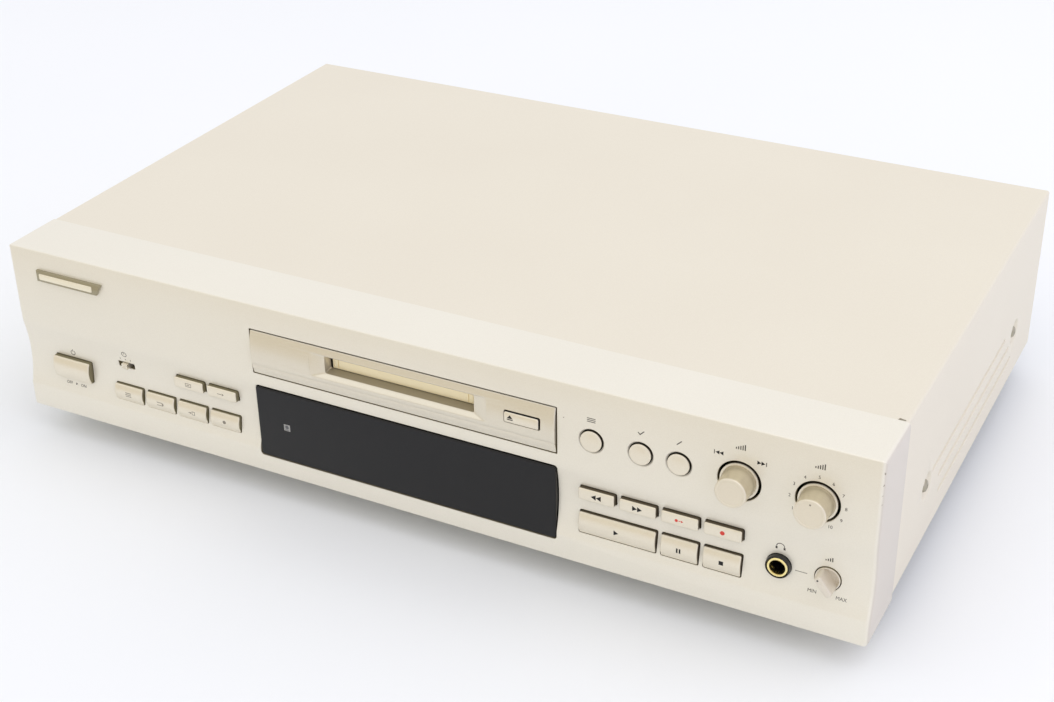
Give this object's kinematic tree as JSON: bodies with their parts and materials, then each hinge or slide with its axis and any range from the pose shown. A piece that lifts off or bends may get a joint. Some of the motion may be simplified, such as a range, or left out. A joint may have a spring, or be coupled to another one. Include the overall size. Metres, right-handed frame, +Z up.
{
  "type": "minidisc deck",
  "caption": "Full-width slot-loading minidisc deck: wrapped front panel, steel cover, shutter flap, smoked display lens, keys, jog dial, level knobs and headphone socket.",
  "frame": {"origin": "on the standing surface, under the middle of the deck's outer box", "axes": "+Z up, -Y out of the front panel, +X to the right of someone facing the front"},
  "size_m": [0.4228, 0.2854, 0.1004],
  "materials": {
    "champagne_panel": "satin metallic champagne paint on moulded plastic",
    "champagne_keys": "satin metallic champagne paint",
    "turned_knob": "spun satin champagne aluminium",
    "gold_flap": "brushed gold anodised",
    "smoked_lens": "polished smoked acrylic",
    "cover_paint": "baked cream paint, very fine texture",
    "zinc_steel": "zinc plated",
    "screw_steel": "plated",
    "polished_steel": "ground and polished",
    "motor_steel": "plated can",
    "foot_plastic": "moulded, fine texture",
    "foot_rubber": "matt",
    "black_plastic": "moulded",
    "plated_brass": "bright plated",
    "circuit_board": "solder resist",
    "chip_resin": "moulded resin",
    "capacitor_sleeve": "shrink sleeve",
    "core_iron": "varnished laminations",
    "coil_tape": "wound tape",
    "sink_aluminium": "extruded",
    "tube_glass": "clear with dark backing",
    "white_plastic": "moulded"
  },
  "bodies": {
    "case": {"front_panel": "champagne_panel", "disc_bezel": "champagne_panel", "display_window": "smoked_lens", "top_cover": "cover_paint", "bottom_chassis": "zinc_steel", "rear_panel": "zinc_steel", "mechanism_frame": "zinc_steel", "case_screws": "screw_steel", "guide_rods": "polished_steel", "spindle_motor": "motor_steel", "drive_motors": "motor_steel", "feet": "foot_plastic", "foot_pads": "foot_rubber", "headphone_jack": "black_plastic", "timer_switch": "black_plastic", "ac_inlet": "black_plastic", "optical_sockets": "black_plastic", "tact_switches": "black_plastic", "level_pots": "black_plastic", "jog_encoder": "black_plastic", "jack_ring": "plated_brass", "rca_jacks": "plated_brass", "main_board": "circuit_board", "front_board": "circuit_board", "board_chips": "chip_resin", "capacitors": "capacitor_sleeve", "transformer_core": "core_iron", "transformer_coil": "coil_tape", "heat_sink": "sink_aluminium", "display_tube": "tube_glass"},
    "rewind_key": {"rewind_key": "champagne_keys"},
    "forward_key": {"forward_key": "champagne_keys"},
    "record_sync_key": {"record_sync_key": "champagne_keys"},
    "record_key": {"record_key": "champagne_keys"},
    "play_key": {"play_key": "champagne_keys"},
    "pause_key": {"pause_key": "champagne_keys"},
    "stop_key": {"stop_key": "champagne_keys"},
    "display_key": {"display_key": "champagne_keys"},
    "scroll_key": {"scroll_key": "champagne_keys"},
    "play_mode_key": {"play_mode_key": "champagne_keys"},
    "repeat_key": {"repeat_key": "champagne_keys"},
    "input_key": {"input_key": "champagne_keys"},
    "time_key": {"time_key": "champagne_keys"},
    "menu_button": {"menu_button": "champagne_keys"},
    "yes_button": {"yes_button": "champagne_keys"},
    "clear_button": {"clear_button": "champagne_keys"},
    "eject_button": {"eject_button": "champagne_keys"},
    "power_button": {"power_button": "champagne_keys"},
    "timer_slider": {"timer_slider": "black_plastic"},
    "jog_shaft": {"jog_shaft": "polished_steel"},
    "jog_knob": {"jog_knob": "turned_knob"},
    "rec_level_knob": {"rec_level_knob": "turned_knob"},
    "phones_level_knob": {"phones_level_knob": "turned_knob"},
    "disc_flap": {"disc_flap": "gold_flap"},
    "cartridge_holder": {"cartridge_holder": "zinc_steel"},
    "loading_gear": {"loading_gear": "white_plastic"},
    "head_arm": {"head_arm": "white_plastic"},
    "turntable": {"turntable": "white_plastic"},
    "optical_pickup": {"optical_pickup": "white_plastic"},
    "lead_screw": {"lead_screw": "polished_steel"}
  },
  "joints": [
    {"name": "rewind_key_push", "type": "slide", "parent": "case", "child": "rewind_key", "axis": [0, 1, 0], "range_m": [0, 0.0008], "stiffness_N_per_m": 800, "springref_m": -0.0004},
    {"name": "forward_key_push", "type": "slide", "parent": "case", "child": "forward_key", "axis": [0, 1, 0], "range_m": [0, 0.0008], "stiffness_N_per_m": 800, "springref_m": -0.0004},
    {"name": "record_sync_key_push", "type": "slide", "parent": "case", "child": "record_sync_key", "axis": [0, 1, 0], "range_m": [0, 0.0008], "stiffness_N_per_m": 800, "springref_m": -0.0004},
    {"name": "record_key_push", "type": "slide", "parent": "case", "child": "record_key", "axis": [0, 1, 0], "range_m": [0, 0.0008], "stiffness_N_per_m": 800, "springref_m": -0.0004},
    {"name": "play_key_push", "type": "slide", "parent": "case", "child": "play_key", "axis": [0, 1, 0], "range_m": [0, 0.0008], "stiffness_N_per_m": 800, "springref_m": -0.0004},
    {"name": "pause_key_push", "type": "slide", "parent": "case", "child": "pause_key", "axis": [0, 1, 0], "range_m": [0, 0.0008], "stiffness_N_per_m": 800, "springref_m": -0.0004},
    {"name": "stop_key_push", "type": "slide", "parent": "case", "child": "stop_key", "axis": [0, 1, 0], "range_m": [0, 0.0008], "stiffness_N_per_m": 800, "springref_m": -0.0004},
    {"name": "display_key_push", "type": "slide", "parent": "case", "child": "display_key", "axis": [0, 1, 0], "range_m": [0, 0.0008], "stiffness_N_per_m": 800, "springref_m": -0.0004},
    {"name": "scroll_key_push", "type": "slide", "parent": "case", "child": "scroll_key", "axis": [0, 1, 0], "range_m": [0, 0.0008], "stiffness_N_per_m": 800, "springref_m": -0.0004},
    {"name": "play_mode_key_push", "type": "slide", "parent": "case", "child": "play_mode_key", "axis": [0, 1, 0], "range_m": [0, 0.0008], "stiffness_N_per_m": 800, "springref_m": -0.0004},
    {"name": "repeat_key_push", "type": "slide", "parent": "case", "child": "repeat_key", "axis": [0, 1, 0], "range_m": [0, 0.0008], "stiffness_N_per_m": 800, "springref_m": -0.0004},
    {"name": "input_key_push", "type": "slide", "parent": "case", "child": "input_key", "axis": [0, 1, 0], "range_m": [0, 0.0008], "stiffness_N_per_m": 800, "springref_m": -0.0004},
    {"name": "time_key_push", "type": "slide", "parent": "case", "child": "time_key", "axis": [0, 1, 0], "range_m": [0, 0.0008], "stiffness_N_per_m": 800, "springref_m": -0.0004},
    {"name": "menu_button_push", "type": "slide", "parent": "case", "child": "menu_button", "axis": [0, 1, 0], "range_m": [0, 0.0008], "stiffness_N_per_m": 800, "springref_m": -0.0004},
    {"name": "yes_button_push", "type": "slide", "parent": "case", "child": "yes_button", "axis": [0, 1, 0], "range_m": [0, 0.0008], "stiffness_N_per_m": 800, "springref_m": -0.0004},
    {"name": "clear_button_push", "type": "slide", "parent": "case", "child": "clear_button", "axis": [0, 1, 0], "range_m": [0, 0.0008], "stiffness_N_per_m": 800, "springref_m": -0.0004},
    {"name": "eject_button_push", "type": "slide", "parent": "case", "child": "eject_button", "axis": [0, 1, 0], "range_m": [0, 0.0008], "stiffness_N_per_m": 800, "springref_m": -0.0004},
    {"name": "power_button_push", "type": "slide", "parent": "case", "child": "power_button", "axis": [0, 1, 0], "range_m": [0, 0.002], "stiffness_N_per_m": 400, "springref_m": -0.001},
    {"name": "timer_slider_slide", "type": "slide", "parent": "case", "child": "timer_slider", "axis": [1, 0, 0], "range_m": [-0.003, 0.003]},
    {"name": "jog_shaft_push", "type": "slide", "parent": "case", "child": "jog_shaft", "axis": [0, 1, 0], "range_m": [0, 0.0006], "stiffness_N_per_m": 1200, "springref_m": -0.0004},
    {"name": "jog_knob_turn", "type": "hinge", "parent": "jog_shaft", "child": "jog_knob", "pos_m": [0.15455, -0.133, 0.0755], "axis": [0, 1, 0], "continuous": true},
    {"name": "rec_level_knob_turn", "type": "hinge", "parent": "case", "child": "rec_level_knob", "pos_m": [0.18645, -0.133, 0.0755], "axis": [0, 1, 0], "range_deg": [-150, 150]},
    {"name": "phones_level_knob_turn", "type": "hinge", "parent": "case", "child": "phones_level_knob", "pos_m": [0.1925, -0.133, 0.04], "axis": [0, 1, 0], "range_deg": [-100, 200]},
    {"name": "disc_flap_swing", "type": "hinge", "parent": "case", "child": "disc_flap", "pos_m": [0, -0.127, 0.0846], "axis": [1, 0, 0], "range_deg": [0, 80], "stiffness_Nm_per_rad": 0.0015, "springref_deg": -11.46},
    {"name": "cartridge_holder_drop", "type": "slide", "parent": "case", "child": "cartridge_holder", "axis": [0, 0, -1], "range_m": [0, 0.007]},
    {"name": "loading_gear_turn", "type": "hinge", "parent": "case", "child": "loading_gear", "pos_m": [-0.036, -0.077, 0.052], "axis": [0, 0, 1], "range_deg": [0, 180.2]},
    {"name": "head_arm_drop", "type": "hinge", "parent": "case", "child": "head_arm", "pos_m": [0, -0.001, 0.086], "axis": [1, 0, 0], "range_deg": [0, 15.05]},
    {"name": "turntable_spin", "type": "hinge", "parent": "case", "child": "turntable", "pos_m": [0, -0.055, 0.062], "axis": [0, 0, 1], "continuous": true},
    {"name": "optical_pickup_slide", "type": "slide", "parent": "case", "child": "optical_pickup", "axis": [0, 1, 0], "range_m": [0, 0.02]},
    {"name": "lead_screw_turn", "type": "hinge", "parent": "case", "child": "lead_screw", "pos_m": [0.028, -0.033, 0.057], "axis": [0, 1, 0], "range_deg": [0, 2401]}
  ],
  "couplings": [
    {"joint": "loading_gear_turn", "follows": "cartridge_holder_drop", "rad_per_m": 448.8},
    {"joint": "head_arm_drop", "follows": "cartridge_holder_drop", "rad_per_m": 37.4},
    {"joint": "lead_screw_turn", "follows": "optical_pickup_slide", "rad_per_m": 2094.4}
  ]
}
